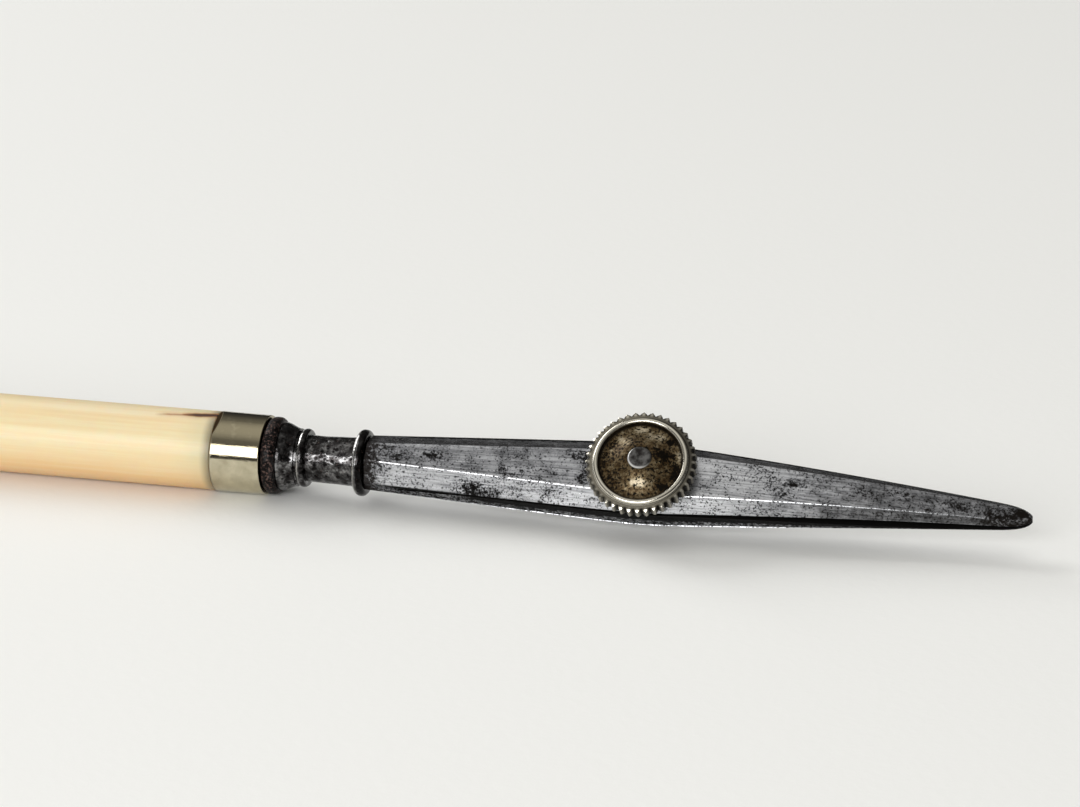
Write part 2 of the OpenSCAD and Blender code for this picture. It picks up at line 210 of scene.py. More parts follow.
# Bolster: turned mouldings with a tang behind and a socket for the two shanks in front
bolster = {"tang": 1.2, "tangEnd": -24.0, "tangTip": 0.9, "tangPoint": 0.3, "tangStep": 1.2,
           "baseX": 4.52, "baseW": 1.25, "baseR": 3.425, "baseRound": 0.5, "seatR": 3.2, "notch": 0.12,
           "cupLen": 1.55, "cupR": 3.025, "cupEndR": 2.575, "grooveW": 0.25, "grooveR": 2.4,
           "beadW": 0.65, "beadR": 2.6, "neckLen": 4.45, "waistR": 2.07, "neckR": 2.2,
           "flangeR": 2.95, "flangeRound": 0.44, "flangeRim": 0.4, "faceR": 1.6,
           "socketW": 1.96, "socketLow": -0.88, "socketHigh": 1.37, "socketDeep": 3.6,
           "around": 300, "step": 0.085,
           "pits": 900, "seed": 11, "pitSmall": 0.06, "pitLarge": 0.3, "pitDeep": 0.03, "wasted": 0.02,
           "cupTopShade": 0.5, "faceCrust": 0.58, "faceCrustR": 2.3, "wornBead": 0.1, "wornFlange": 0.15}


def scatterPits(rings, radius, count, seed, lowX, highX, small, large):
    # round-bottomed pits at seeded places on a turned surface; gives a depth from 0 to 1 at each point
    rng = np.random.default_rng(seed)
    centreX = rng.uniform(lowX, highX, count)
    centreA = rng.uniform(-np.pi, np.pi, count)
    size = small + (large - small) * rng.random(count) ** 2.5
    x, angle = rings[..., 0], polar(rings)[1]
    depth = np.zeros(x.shape)
    for cx, ca, reach in zip(centreX, centreA, size):
        rows = np.where(np.abs(x[:, 0] - cx) < reach)[0]
        if len(rows):
            turn = (angle[rows] - ca + np.pi) % (2 * np.pi) - np.pi
            away = ((x[rows] - cx) ** 2 + (turn * radius[rows]) ** 2) / reach ** 2
            depth[rows] = np.maximum(depth[rows], np.clip(1 - away, 0, 1) ** 1.2 * (0.45 + reach))
    return np.clip(depth, 0, 1)


def makeBolster():
    b = bolster
    cupX = b["baseX"] + b["baseW"]
    grooveX = cupX + b["cupLen"]
    beadX = grooveX + b["grooveW"]
    neckX = beadX + b["beadW"]
    flangeX = neckX + b["neckLen"]
    t = np.linspace(0, 1, 24)
    cup = np.stack([cupX + b["notch"] + (b["cupLen"] - b["notch"]) * t,  # half a cosine wave
                    b["cupEndR"] + (b["cupR"] - b["cupEndR"]) * (1 + np.cos(np.pi * t)) / 2], -1)
    neck = np.stack([neckX + b["neckLen"] * t, b["waistR"] + (b["neckR"] - b["waistR"]) * t ** 2], -1)
    soft, rim, edge, beadHalf = b["baseRound"], b["flangeRim"], b["flangeRound"], b["beadW"] / 2
    outside = finer(np.concatenate([
        arcRun(b["baseX"] + soft, b["baseR"] - soft, soft, soft, 180, 90, 8),
        arcRun(cupX - soft, b["baseR"] - soft, soft, soft, 90, 0, 8), [[cupX, b["cupR"] - b["notch"]]],
        cup, [[grooveX, b["grooveR"]]],
        arcRun(beadX + beadHalf, b["grooveR"], beadHalf, b["beadR"] - b["grooveR"], 180, 0, 12), neck,
        arcRun(flangeX + rim, b["flangeR"] - rim, rim, rim, 180, 90, 6),
        arcRun(pen["faceX"] - edge, b["flangeR"] - edge, edge, edge, 90, 0, 10),
        [[pen["faceX"], b["faceR"]]]]), b["step"])
    tang = finer([[b["tangEnd"], b["tangTip"]], [b["tangEnd"] + b["tangPoint"], b["tang"]],
                  [b["baseX"], b["tang"]], [b["baseX"], b["seatR"]]], b["tangStep"])
    rings = turnAbout(np.concatenate([tang, outside]), b["around"])
    x = rings[..., 0]
    radius, a = polar(rings)
    pit = scatterPits(rings, radius, b["pits"], b["seed"], b["baseX"] - 0.1, pen["faceX"] + 0.1,
                      b["pitSmall"], b["pitLarge"])
    wave = 0.5 + 0.25 * np.sin(3 * a + 1.3 * x) + 0.25 * np.sin(5 * a - 2.1 * x + 1)  # wasting by rust
    pit[:len(tang)] = wave[:len(tang)] = 0
    rings[..., 1:] *= (1 - (b["pitDeep"] * pit + b["wasted"] * wave) / radius)[..., None]
    # rust lies on the base ring and black crust on the front of the flange; the top of the cup is painted
    # black as a dark reflection
    rust = ramp(x, cupX + 0.05, -0.1)
    up = rings @ np.array(upAxis) / radius
    # painted dark reflection: black on the upper side of the cup, groove and bead
    pit = np.maximum(pit, b["cupTopShade"] * ramp(up, 0.1, 0.5) * (x > cupX) * (x < neckX + 0.3))
    pit = np.maximum(pit, b["faceCrust"] * (x > flangeX + 0.42) * (radius > b["faceCrustR"]))
    # the rear edges of bead and flange are worn bright
    worn = bell(x, beadX + 0.1, b["wornBead"]) * (radius > b["grooveR"] + 0.02)
    worn += bell(x, flangeX + 0.1, b["wornFlange"]) * (radius > b["flangeR"] - 0.5)
    # socket: the ring of the face meets a rectangle on the same rays, then the rectangle goes in
    mid = (b["socketLow"] + b["socketHigh"]) / 2
    halfY, halfZ = b["socketW"] / 2, (b["socketHigh"] - b["socketLow"]) / 2
    ray = np.linspace(0, 2 * np.pi, b["around"], endpoint=False)
    out = 1 / np.maximum(np.abs(np.cos(ray)) / halfY, np.abs(np.sin(ray)) / halfZ)
    mouth = np.stack([np.full(b["around"], pen["faceX"]), out * np.cos(ray), mid + out * np.sin(ray)], -1)
    rings = np.concatenate([rings, mouth[None], mouth[None] - [b["socketDeep"], 0, 0]])
    none = np.zeros((2, b["around"]))
    marks = {key: np.concatenate([v, none]) for key, v in (("pit", pit), ("rust", rust), ("worn", worn))}
    return skinRings("bolsterPitted", rings, marks=marks)


# Blades: both share one outline; widths and heights run straight from flange to screw and on to the tip
blades = {"screwX": 24.75, "length": 57.7, "rootW": 4.65, "screwW": 6.9, "nibW": 1.75, "cornerSoft": 0.3,
          "nibRound": 3.4, "nibFull": 3.6, "rootBevel": 1.5, "screwBevel": 1.33, "nibBevel": 0.32,
          "stations": 260, "nibStations": 40, "nibStop": 0.985,
          "ridge": 0.07, "edge": 0.03, "burr": 0.09, "burrRise": 0.05,
          "shankHalf": 0.95, "shankT": 0.9, "shankLen": 3.6, "shankEdge": 0.02, "heelGap": 0.05}
frontBlade = {"rootZ": 2.36, "screwZ": 2.82, "nibZ": 0.42, "rootT": 1.5, "screwT": 1.08, "nibT": 0.35,
              "hold": 1.6, "rootEdge": 0.61, "edge": 0.06, "edgeFade": 10.0, "rootGap": 0.12,
              "holeRadius": 1.10, "drillFrom": -4.0, "drillTo": 5.0, "seed": 5}
backBlade = {"rootZ": 0.5, "screwZ": 0.6, "nibZ": 0.42, "rootT": 1.65, "screwT": 1.15, "nibT": 0.2,
             "slotRoot": 0.23, "slotScrew": 0.35, "slotNib": 0.2, "belly": 0.9, "lean": 1.5,
             "holeRadius": 1.16, "drillFrom": -5.0, "drillTo": 4.0, "seed": 17}
nibSpan = blades["length"] - blades["screwX"]


def shareToTip(x):  # 0 at the screw, 1 at the tip
    return ramp(x, pen["holeX"], nibSpan)


def runTo(x, root, mid, nib, bend=1):  # straight to the screw, then by a power of the way to the tip
    toScrew = (x - pen["faceX"]) / blades["screwX"]
    toTip = shareToTip(x) ** bend
    return np.where(x < pen["holeX"], root + (mid - root) * toScrew, mid + (nib - mid) * toTip)


def roundEnd(x):  # closes the nib like a quarter ellipse, a little fuller
    e = ramp(x, pen["tipX"] - blades["nibRound"], blades["nibRound"])
    return np.sqrt(np.clip(1 - e ** blades["nibFull"], 0, 1))


def halfWidth(x):  # the smaller of two tapers, with the corner between them rounded
    b = blades
    rear = (b["rootW"] + (b["screwW"] - b["rootW"]) * (x - pen["faceX"]) / b["screwX"]) / 2
    nib = (b["screwW"] + (b["nibW"] - b["screwW"]) * (x - pen["holeX"]) / nibSpan) / 2
    return (rear + nib - np.sqrt((rear - nib) ** 2 + b["cornerSoft"] ** 2)) / 2 * roundEnd(x)


def bevelWidth(x):  # narrows to the nib, and closes with it
    return runTo(x, blades["rootBevel"], blades["screwBevel"], blades["nibBevel"]) * roundEnd(x)


def frontFace(x):  # rises to the screw, then falls as a parabola
    return runTo(x, frontBlade["rootZ"], frontBlade["screwZ"], frontBlade["nibZ"], 2)


def frontFoot(x):  # below the face by the height of the bevels
    f = frontBlade
    return frontFace(x) - runTo(x, f["rootT"], f["screwT"], f["nibT"], f["hold"])


def frontInner(x):  # below the foot by a thin edge, which thickens towards the root
    f = frontBlade
    towardsRoot = np.clip(1 - (x - pen["faceX"]) / f["edgeFade"], 0, None)
    return frontFoot(x) - f["edge"] - (f["rootEdge"] - f["edge"]) * towardsRoot


def backInner(x):  # below the front blade by a tapering slot that bellies out for the ink
    b = backBlade
    belly = b["belly"] * np.sin(np.pi * shareToTip(x) ** b["lean"])
    return frontInner(x) - runTo(x, b["slotRoot"], b["slotScrew"], b["slotNib"]) - belly


def backEdge(x):  # the lower edge of the narrow sides, straight in two runs
    return -runTo(x, backBlade["rootZ"], backBlade["screwZ"], backBlade["nibZ"])


def backFace(x):  # below the edge by the thickness
    return backEdge(x) - runTo(x, backBlade["rootT"], backBlade["screwT"], backBlade["nibT"])


def burrShare(x):  # patchy, strongest by the screw, and almost gone towards the nib
    patchy = 0.84 + 0.16 * np.sin(3.7 * x) * np.sin(1.3 * x + 1)
    return ramp(x, 16, 12) * (1 - 0.9 * ramp(x, 49, 8)) * patchy


def bladeStations(start):  # even steps, then closer ones round the end of the nib
    b = blades
    bend = pen["tipX"] - b["nibRound"]
    turn = np.linspace(0, np.pi / 2 * b["nibStop"], b["nibStations"])
    return np.concatenate([np.linspace(start, bend, b["stations"], endpoint=False),
                           bend + b["nibRound"] * np.sin(turn)])


def sections(*corners):  # the corners (y, z) of the section at each station
    return np.stack([np.stack(corner, -1) for corner in corners], axis=1)


sideShares = np.array([0.03, 0.12, 0.27, 0.42, 0.58, 0.73, 0.88, 0.97])  # places of points along a side
cornerPoints = 6


def softRing(corners, soft):
    # each corner becomes a small curve, drawn by the point before it, the corner and the point after it
    before, after = np.roll(corners, 1, axis=1), np.roll(corners, -1, axis=1)
    lenIn = np.linalg.norm(corners - before, axis=-1, keepdims=True) + 1e-9
    lenOut = np.linalg.norm(after - corners, axis=-1, keepdims=True) + 1e-9
    reach = np.minimum(np.asarray(soft)[None, :, None], 0.42 * np.minimum(lenIn, lenOut))
    a = corners + (before - corners) / lenIn * reach
    b = corners + (after - corners) / lenOut * reach
    s = np.linspace(0, 1, cornerPoints)[None, None, :, None]
    curve = (1 - s) ** 2 * a[:, :, None] + 2 * s * (1 - s) * corners[:, :, None] + s ** 2 * b[:, :, None]
    side = b[:, :, None] + sideShares[None, None, :, None] * (np.roll(a, -1, axis=1) - b)[:, :, None]
    return np.concatenate([curve, side], axis=2).reshape(len(corners), -1, 2)


def standAlong(x, outlines):  # each station's outline (y, z) stands at its x
    return np.concatenate([np.repeat(x[:, None, None], outlines.shape[1], axis=1), outlines], axis=-1)


def shankCorners(x, half, low, high, shares):  # a rectangle with as many points as the blade has corners
    full = np.ones_like(x)
    right = [(1, low)] + [(1, low + (high - low) * s) for s in shares] + [(1, high)]
    left = [(-1, level) for _, level in reversed(right)]
    return sections(*[(side * half * full, level * full) for side, level in left[-1:] + right + left[:-1]])


def aroundSection(corners, sides):  # one value for each corner's curve, and one or eight along each side
    return np.concatenate([part for corner, side in zip(corners, sides)
                           for part in (np.full(cornerPoints, corner), np.full(len(sideShares), side))])


def onSides(count, *numbers):  # 1 on the sides of the section with these numbers
    return aroundSection([0] * count, [int(i in numbers) for i in range(count)])[None]


# Blade wear: patches are x, y, reach along, reach across, strength; pitted is where rust bit the upper
# blade most, bright where handling has kept it so; a run is start, length and, for some, strength
wear = {"pitted": ((15.5, 0.4, 0.9, 0.5, 0.6), (16.7, -0.2, 1.0, 0.5, 0.9), (15.3, -1.0, 0.9, 0.5, 0.8),
                   (19.7, 0.1, 1.2, 0.5, 1.0), (23.5, -2.4, 1.6, 0.6, 0.9), (25.3, -2.6, 1.3, 0.6, 0.7),
                   (26.3, -0.75, 0.6, 0.6, 0.8), (27.7, -1.1, 1.3, 0.6, 0.6), (32.6, 1.25, 1.0, 0.6, 0.8),
                   (33.5, 0.9, 0.6, 1.2, 1.0), (33.2, -1.1, 0.6, 0.5, 0.9), (30.1, -2.3, 1.8, 0.6, 0.5),
                   (48.2, 1.2, 1.6, 0.5, 0.5), (50.9, 0.1, 1.8, 0.5, 0.8), (50.2, -0.9, 1.2, 0.4, 0.7),
                   (57.0, 0.15, 1.0, 0.4, 0.6), (60.2, 0.4, 1.2, 0.4, 0.8), (60.5, 1.5, 1.0, 0.3, 0.7),
                   (63.2, -0.7, 1.0, 0.3, 0.6), (65.2, 0.0, 2.0, 0.5, 0.6), (68.6, -0.5, 2.0, 0.8, 0.9),
                   (70.5, 0.0, 1.2, 0.8, 1.0)),
        "bright": ((43.5, -2.4, 4.5, 1.3, 1.0), (46.0, 0.7, 4.5, 1.6, 0.8), (32.5, -2.8, 3.6, 1.0, 1.0),
                   (30.5, 0.45, 3.5, 0.2, 0.5), (31.5, -0.5, 2.5, 0.15, 0.5)),
        "spots": 26, "spotRanges": ((14, 70), (-3, 3), (0.5, 1.6), (0.3, 0.6), (0.2, 0.5)),
        "soot": ((48, 10, 0.38), (60, 10, 0.12)), "inkRun": 4.0, "rustFrom": 0.2, "rustRun": 2.6,
        "wornLoss": (42, 20, 0.6), "thinInkAndShade": (32, 20, 0.5), "rootInkAndShade": (19, 6), "dulled": (46, 8),
        "bevelSoot": 0.18, "bevelPolish": 0.5, "wornPits": 0.7, "sidePits": 0.6}


def softPatches(x, y, patches):  # the strongest of some soft spots: strength times a bell in x and y
    level = np.zeros(x.shape)
    for px, py, rx, ry, strength in patches:
        level = np.maximum(level, strength * bell(x, px, rx) * bell(y, py, ry))
    return level


def bladeMarks(rings, patches, seed, inked, worn):
    # pitting: soft patches at given places and seeded ones; soot: dark at the nib; rust: at the root; ink:
    # dried ink and painted shade
    rng = np.random.default_rng(seed)
    spots = np.stack([rng.uniform(low, high, wear["spots"]) for low, high in wear["spotRanges"]], axis=-1)
    x, y = rings[..., 0], rings[..., 1]
    lossFrom, lossRun, loss = wear["wornLoss"]
    return {"pitting": softPatches(x, y, np.concatenate([patches, spots])),
            "polish": softPatches(x, y, wear["bright"]),
            "soot": sum(strength * ramp(x, start, length) for start, length, strength in wear["soot"]),
            "ink": inked[None] * ramp(x, pen["faceX"], wear["inkRun"]),
            "rust": np.exp(-np.clip(x - pen["faceX"] - wear["rustFrom"], 0, None) / wear["rustRun"]),
            "worn": worn[None] * (1 - loss * ramp(x, lossFrom, lossRun))}


def inkFree(x):  # dried ink and painted shade in the slot are thin by the root and full by the nib
    start, length, strength = wear["thinInkAndShade"]
    return strength * (1 - ramp(x, start, length))


def makeFrontBlade():
    # sides of the section: 0 in the slot, 1 far edge, 2 far bevel, 3 face, 4 near bevel, 5 near edge
    f, b = frontBlade, blades
    start = pen["faceX"] + f["rootGap"]
    x = bladeStations(start)
    half, bevel, inner, foot, face = halfWidth(x), bevelWidth(x), frontInner(x), frontFoot(x), frontFace(x)
    corners = sections((-half, inner), (half, inner), (half, foot), (half - bevel, face),
                       (bevel - half, face), (-half, foot))
    # shank with a round heel, which lies in the bolster's socket
    low = float(frontInner(np.array(pen["faceX"])))
    heelR = b["shankT"] / 2
    heelX = pen["faceX"] - b["shankLen"] + heelR + b["heelGap"]
    shankX = np.concatenate([heelX - heelR * np.cos(np.linspace(0.15, np.pi / 2, 10)), [start]])
    rise = np.sqrt(np.clip(heelR ** 2 - np.clip(heelX - shankX, 0, None) ** 2, 0, None))
    shank = shankCorners(shankX, b["shankHalf"], low + heelR - rise, low + heelR + rise, (0.5,))
    soft = [b["shankEdge"]] * 2 + [b["edge"], b["ridge"], b["ridge"], b["edge"]]
    rings = standAlong(np.concatenate([shankX, x]), softRing(np.concatenate([shank, corners]), soft))
    # dried ink and painted shade darken the slot and both edges, and painted shade fades up the far bevel;
    # the near ridge is worn bright
    fade = np.array([1, 0.8, 0.5, 0.35, 0.3, 0.28, 0.25, 0.2])
    inked = aroundSection([1, 1, 1, 0, 0, 0.2], [1, 1, fade, 0, 0, 1])
    worn = aroundSection([0, 0, 0, 0.15, 0.8, 0], [0] * 6)
    marks = bladeMarks(rings, wear["pitted"], f["seed"], inked, worn)
    marks["ink"] *= 1 - onSides(6, 0) * inkFree(rings[..., 0])
    marks["pitting"] *= 1 - wear["wornPits"] * marks["worn"]
    # the near bevel is rubbed bright as far as the screw, and dull past it
    dulled = ramp(rings[..., 0], *wear["dulled"])
    marks["soot"] += wear["bevelSoot"] * onSides(6, 4) * dulled
    marks["polish"] = np.maximum(marks["polish"], wear["bevelPolish"] * onSides(6, 4) * (1 - dulled))
    marks["honed"] = np.repeat(onSides(6, 2), len(rings), axis=0)  # the far bevel is the smoothest
    piece = skinRings("frontBladeFiled", rings, marks=marks)
    drill(piece, f["holeRadius"], f["drillFrom"], f["drillTo"])
    return piece


def makeBackBlade():
    # sides of the section: 0 back, 1 and 7 bevels, 2 and 6 burrs, 3 and 5 narrow sides, 4 in the slot
    b = blades
    x = bladeStations(pen["faceX"])
    half, bevel, inner, edge, face = halfWidth(x), bevelWidth(x), backInner(x), backEdge(x), backFace(x)
    # filing left a burr along the lower edges
    share = burrShare(x) * roundEnd(x)
    burr, rise = b["burr"] * share, b["burrRise"] * share
    corners = sections((bevel - half, face), (half - bevel, face), (half + burr, edge), (half, edge + rise),
                       (half, inner), (-half, inner), (-half, edge + rise), (-half - burr, edge))
    high = float(backInner(np.array(pen["faceX"])))
    shankX = pen["faceX"] - np.array([b["shankLen"], 1.0, 0.0])
    shank = shankCorners(shankX, b["shankHalf"], high - b["shankT"], high, (0.3, 0.6))
    soft = [b["ridge"]] * 2 + [b["edge"]] * 6
    rings = standAlong(np.concatenate([shankX, x]), softRing(np.concatenate([shank, corners]), soft))
    # dried ink and painted shade: the slot and the narrow sides are dark by the slot, lighter towards the
    # lower edges
    fade = np.array([1, 1, 1, 0.9, 0.6, 0.5, 0.45, 0.4])
    inked = aroundSection([0, 0, 0, 0, 1, 1, 0, 0], [0, 0, 0, fade[::-1], 1, fade, 0, 0])
    worn = aroundSection([0.3, 0.3, 1, 0.5, 0, 0, 0.5, 1], [0, 0, 1, 0.6, 0, 0.6, 1, 0])
    marks = bladeMarks(rings, wear["pitted"][:3], backBlade["seed"], inked, worn)
    marks["ink"] *= 1 - onSides(8, 4) * inkFree(rings[..., 0])
    marks["ink"] *= 1 - onSides(8, 3, 5) * (1 - ramp(rings[..., 0], *wear["rootInkAndShade"]))
    # rust has bitten the narrow sides
    marks["pitting"] = np.maximum(marks["pitting"], wear["sidePits"] * onSides(8, 3, 5))
    marks["worn"] *= burrShare(rings[..., 0])
    piece = skinRings("backBladeFiled", rings, marks=marks)
    drill(piece, backBlade["holeRadius"], backBlade["drillFrom"], backBlade["drillTo"])
    return piece


# Adjusting screw: radius falls from crest to root as a triangle wave of height minus turn; its top is plain
screw = {"radius": 1.04, "foot": -2.35, "top": 5.81, "chamfer": 0.16, "pitch": 0.4, "threadTop": 2.7,
         "depth": 0.2, "around": 120, "step": 0.045, "wornFrom": 0.85, "litSide": -2.4}


def aboutScrew(run, around):  # profile points (r, z) turned about the screw's axis
    a = np.linspace(0, 2 * np.pi, around, endpoint=False)
    r, z = run[:, :1], np.repeat(run[:, 1:], around, axis=1)
    return np.stack([pen["holeX"] + r * np.cos(a), r * np.sin(a), z], axis=-1), a


def makeScrew():
    s = screw
    chamfer, bulge = s["chamfer"], s["chamfer"] * 0.45  # the riveted end is a little round
    run = finer([[s["radius"] - chamfer, s["foot"]], [s["radius"], s["foot"] + chamfer],
                 [s["radius"], s["top"] - chamfer], [s["radius"] - bulge, s["top"] - bulge],
                 [s["radius"] - chamfer, s["top"]], [0.02, s["top"]]], s["step"])
    rings, a = aboutScrew(run, s["around"])
    z = rings[..., 2]
    wave = np.abs(((z / s["pitch"] - a[None] / (2 * np.pi)) % 1) * 2 - 1)
    fade = ramp(z, s["threadTop"], -0.2) * ramp(z, s["foot"], 0.05)
    shrink = 1 - s["depth"] * wave * fade / np.maximum(run[:, :1], 0.3)
    rings[..., 0] = pen["holeX"] + (rings[..., 0] - pen["holeX"]) * shrink
    rings[..., 1] *= shrink
    # the rivet's edge is worn bright, with a painted highlight on the side towards the light
    radius = np.hypot(rings[..., 0] - pen["holeX"], rings[..., 1])
    worn = bell(z, s["top"] - chamfer * 0.6, 0.07) * (radius > s["wornFrom"])
    worn *= 0.3 + 0.7 * np.clip(np.cos(a - s["litSide"]), 0, 1)
    return skinRings("screwThreaded", rings, marks={"worn": worn})


# Milled head: collar, cove, milled band, bead and dome about the screw; teeth are a blunt triangle wave.
# Painted shade and painted light patches in the dome are x, y from the screw's axis, reach along, reach
# across, strength
head = {"bore": 1.06, "boreDeep": 0.4, "collarR": 2.3, "collarZ": 2.85, "collarRim": 0.05,
        "bandZ": 3.85, "bandTop": 4.85, "cove": 0.6, "outer": 4.76, "seam": 0.1,
        "tooth": 0.36, "teeth": 40, "phase": 0.5, "blunt": 1.04, "toothChamfer": 0.26, "toothSlope": 0.42,
        "toothFoot": 0.1, "ringR": 3.85, "ringW": 0.5, "ringTop": 5.17, "dish": 0.3, "dome": 0.8,
        "dishFloor": 0.12, "around": 640, "coarse": 0.2, "step": 0.1, "bandStep": 0.06,
        "shadeSide": 0.4, "grooveWidth": 0.14, "seamWidth": 0.05, "notchDirtAndShade": 0.9, "shadeSideDark": 0.75,
        "paintedShade": ((1.9, 0.6, 0.8, 0.45, 0.9), (3.1, -0.9, 0.4, 0.8, 0.9), (2.2, -2.2, 0.6, 0.35, 0.9),
                  (-3.2, 0.2, 0.4, 1.6, 0.3), (2.3, 2.1, 0.35, 0.35, 0.9), (-2.4, -2.0, 0.7, 0.6, 0.3),
                  (-2.6, 1.5, 0.6, 0.6, 0.25)),
        "paintedLight": ((-0.3, 3.0, 0.7, 0.4, 1.0), (3.35, 0.9, 0.35, 0.8, 1.0), (1.0, 2.4, 0.9, 0.5, 0.7),
                   (0.2, -2.1, 0.8, 0.35, 0.9), (-1.9, 1.9, 0.6, 0.5, 0.5))}


def makeHead():
    h = head
    ringHalf, rim, foot, chamfer = h["ringW"] / 2, h["collarRim"], h["toothFoot"], h["toothChamfer"]
    dishR, dishZ, ringOut = h["ringR"] - ringHalf, h["ringTop"] - h["dish"], h["ringR"] + ringHalf
    rootR = h["outer"] - h["tooth"]
    seamR = rootR - h["seam"]
    under = finer(np.concatenate([
        [[h["bore"], h["collarZ"]], [h["collarR"] - rim, h["collarZ"]], [h["collarR"], h["collarZ"] + rim]],
        arcRun(h["collarR"] + h["cove"], h["bandZ"] - h["cove"], h["cove"], h["cove"], 180, 90, 10),
        [[seamR, h["bandZ"]]]]), h["coarse"])
    band = finer([[h["outer"] - foot, h["bandZ"]], [h["outer"], h["bandZ"] + foot],
                  [h["outer"], h["bandTop"] - chamfer * h["toothSlope"]],
                  [h["outer"] - chamfer, h["bandTop"]]], h["bandStep"])
    s = np.linspace(1, 0, 40)  # the dome is a bell: half a cosine wave from the dish up to the screw
    rise = (h["dome"] + h["dishFloor"]) * (1 + np.cos(np.pi * s ** 0.85)) / 2
    dome = np.stack([h["bore"] + (dishR - h["bore"]) * s, dishZ - h["dishFloor"] + rise], -1)
    top = np.concatenate([
        [[seamR, h["bandTop"]], [ringOut + 0.06, h["bandTop"]], [ringOut, h["bandTop"] + 0.05]],
        arcRun(h["ringR"], h["ringTop"] - ringHalf, ringHalf, ringHalf, 0, 180, 16), dome])
    run = np.concatenate([under, band, finer(top, h["step"]), [[h["bore"], h["collarZ"] + h["boreDeep"]]]])
    rings, a = aboutScrew(run, h["around"])
    wave = np.abs((a * h["teeth"] / (2 * np.pi) + h["phase"]) % 1 * 2 - 1)
    milled = slice(len(under), len(under) + len(band))
    radius = np.repeat(run[:, :1], h["around"], axis=1)
    radius[milled] = np.minimum(radius[milled], rootR + h["tooth"] * np.clip(wave * h["blunt"], 0, 1))
    x, y, z = radius * np.cos(a), radius * np.sin(a), rings[..., 2]
    rings[..., 0], rings[..., 1] = pen["holeX"] + x, y
    # tarnish, dirt and painted shade lie beside the bead and in the bottoms of the teeth; painted shade
    # darkens the side away from the light, towards the nib
    high = z > h["bandTop"] - 0.2
    inDome = ramp(radius, dishR + 0.1, -0.06) * high
    grooveTarnishAndShade = bell(radius, dishR - 0.06, h["grooveWidth"]) * high
    seam = bell(radius, ringOut + 0.03, h["seamWidth"]) * (np.abs(z - h["bandTop"]) < 0.12)
    notch = np.zeros(radius.shape)
    notch[milled] = np.clip(1.7 - 2.4 * wave, 0, 1)[None]
    shadeSide = np.clip(np.cos(a - h["shadeSide"]), 0, 1)
    # painted shade on the band's side away from the light
    film = shadeSide * (radius > ringOut) * (z > h["bandZ"] - 0.01)
    dirtAndShade = grooveTarnishAndShade + seam * (0.4 + 0.6 * shadeSide) + h["notchDirtAndShade"] * notch + h["shadeSideDark"] * film
    # the band is tarnished, but for the teeth's crests; in the dome some patches are painted shade (the
    # stem's shadow, the slopes away from the light), some painted light and highlight
    tarnish = ramp(radius, ringOut, 0.05)
    tarnish[milled] = (1 - ramp(wave, 0.6, 0.2))[None]
    marks = {"patina": inDome, "dirtAndShade": np.clip(dirtAndShade, 0, 1), "tarnish": tarnish,
             "paintedShade": softPatches(x, y, h["paintedShade"]) * inDome,
             "paintedLight": softPatches(x, y, h["paintedLight"]) * inDome}
    return skinRings("headMilled", rings, loop=True, marks=marks)


pieces = {}
for make, sharp, node, body, slotName in (
        (makeHandle, 40, "handle", "pen", "bone"),
        (makeFerrule, 40, "ferrule", "pen", "nickel_silver"),
        (makeBolster, 60, "bolster", "pen", "dark_steel"),
        (makeBackBlade, 40, "back_blade", "pen", "blade_steel"),
        (makeFrontBlade, 40, "front_blade", "front_blade", "blade_steel"),
        (makeScrew, 35, "adjusting_screw", "screw", "screw_steel"),
        (makeHead, 28, "milled_head", "screw", "nickel_silver")):
    piece = make()
    crisp(piece, sharp)
    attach(piece, body)
    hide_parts(node)
    pieces[node] = piece


# Materials
def linear(hexText):  # sRGB hex to linear colour
    c = np.array([int(hexText[i:i + 2], 16) for i in (1, 3, 5)]) / 255.0
    c = np.where(c <= 0.04045, c / 12.92, ((c + 0.055) / 1.055) ** 2.4)
    return (*c.tolist(), 1.0)


def addNode(tree, kind, inputs=(), out=0, stops=(), **settings):
    # adds a node and gives one of its outputs; inputs go in the sockets' order, or by name or number in a
    # dictionary; a socket among them is linked and a hex text becomes a colour; stops fill a colour ramp
    made = tree.nodes.new("ShaderNode" + kind)
    for key, value in settings.items():
        setattr(made, key, value)
    if stops:
        for place, _ in stops[2:]:
            made.color_ramp.elements.new(place)
        for element, (place, colour) in zip(made.color_ramp.elements, stops):
            element.position, element.color = place, linear(colour)
    for key, value in inputs.items() if isinstance(inputs, dict) else enumerate(inputs):
        if isinstance(value, bpy.types.NodeSocket):
            tree.links.new(value, made.inputs[key])
        else:
            made.inputs[key].default_value = linear(value) if isinstance(value, str) else value
    return made.outputs[out]


def newMaterial(name, constants):  # a shader with its constant sockets, and the pen's own axes in mm
    material = bpy.data.materials.new(name)
    material.use_nodes = True
    add = partial(addNode, material.node_tree)
    shader = material.node_tree.nodes["Principled BSDF"]
    for key, value in constants.items():
        shader.inputs[key].default_value = value
    axes = add("Mapping", {"Vector": add("TexCoord", out="Object"), "Rotation": (-rollAngle, 0, 0),
                           "Scale": (1000, 1000, 1000)})
    return material, add, shader, axes


def plug(shader, values):  # links each worked-out value to the shader's socket of that name
    for key, value in values.items():
        shader.id_data.links.new(value, shader.inputs[key])


# Settings that come again and again; a Map Range takes the value, from low, from high, to low, to high
times = {"operation": "MULTIPLY"}
timesPlus = {"operation": "MULTIPLY_ADD"}  # first times second, plus third
larger = {"operation": "MAXIMUM"}
smooth = {"interpolation_type": "SMOOTHSTEP"}
blend = {"data_type": "RGBA", "out": 2}  # a Mix node's colours are its inputs 6 and 7 and its output 2
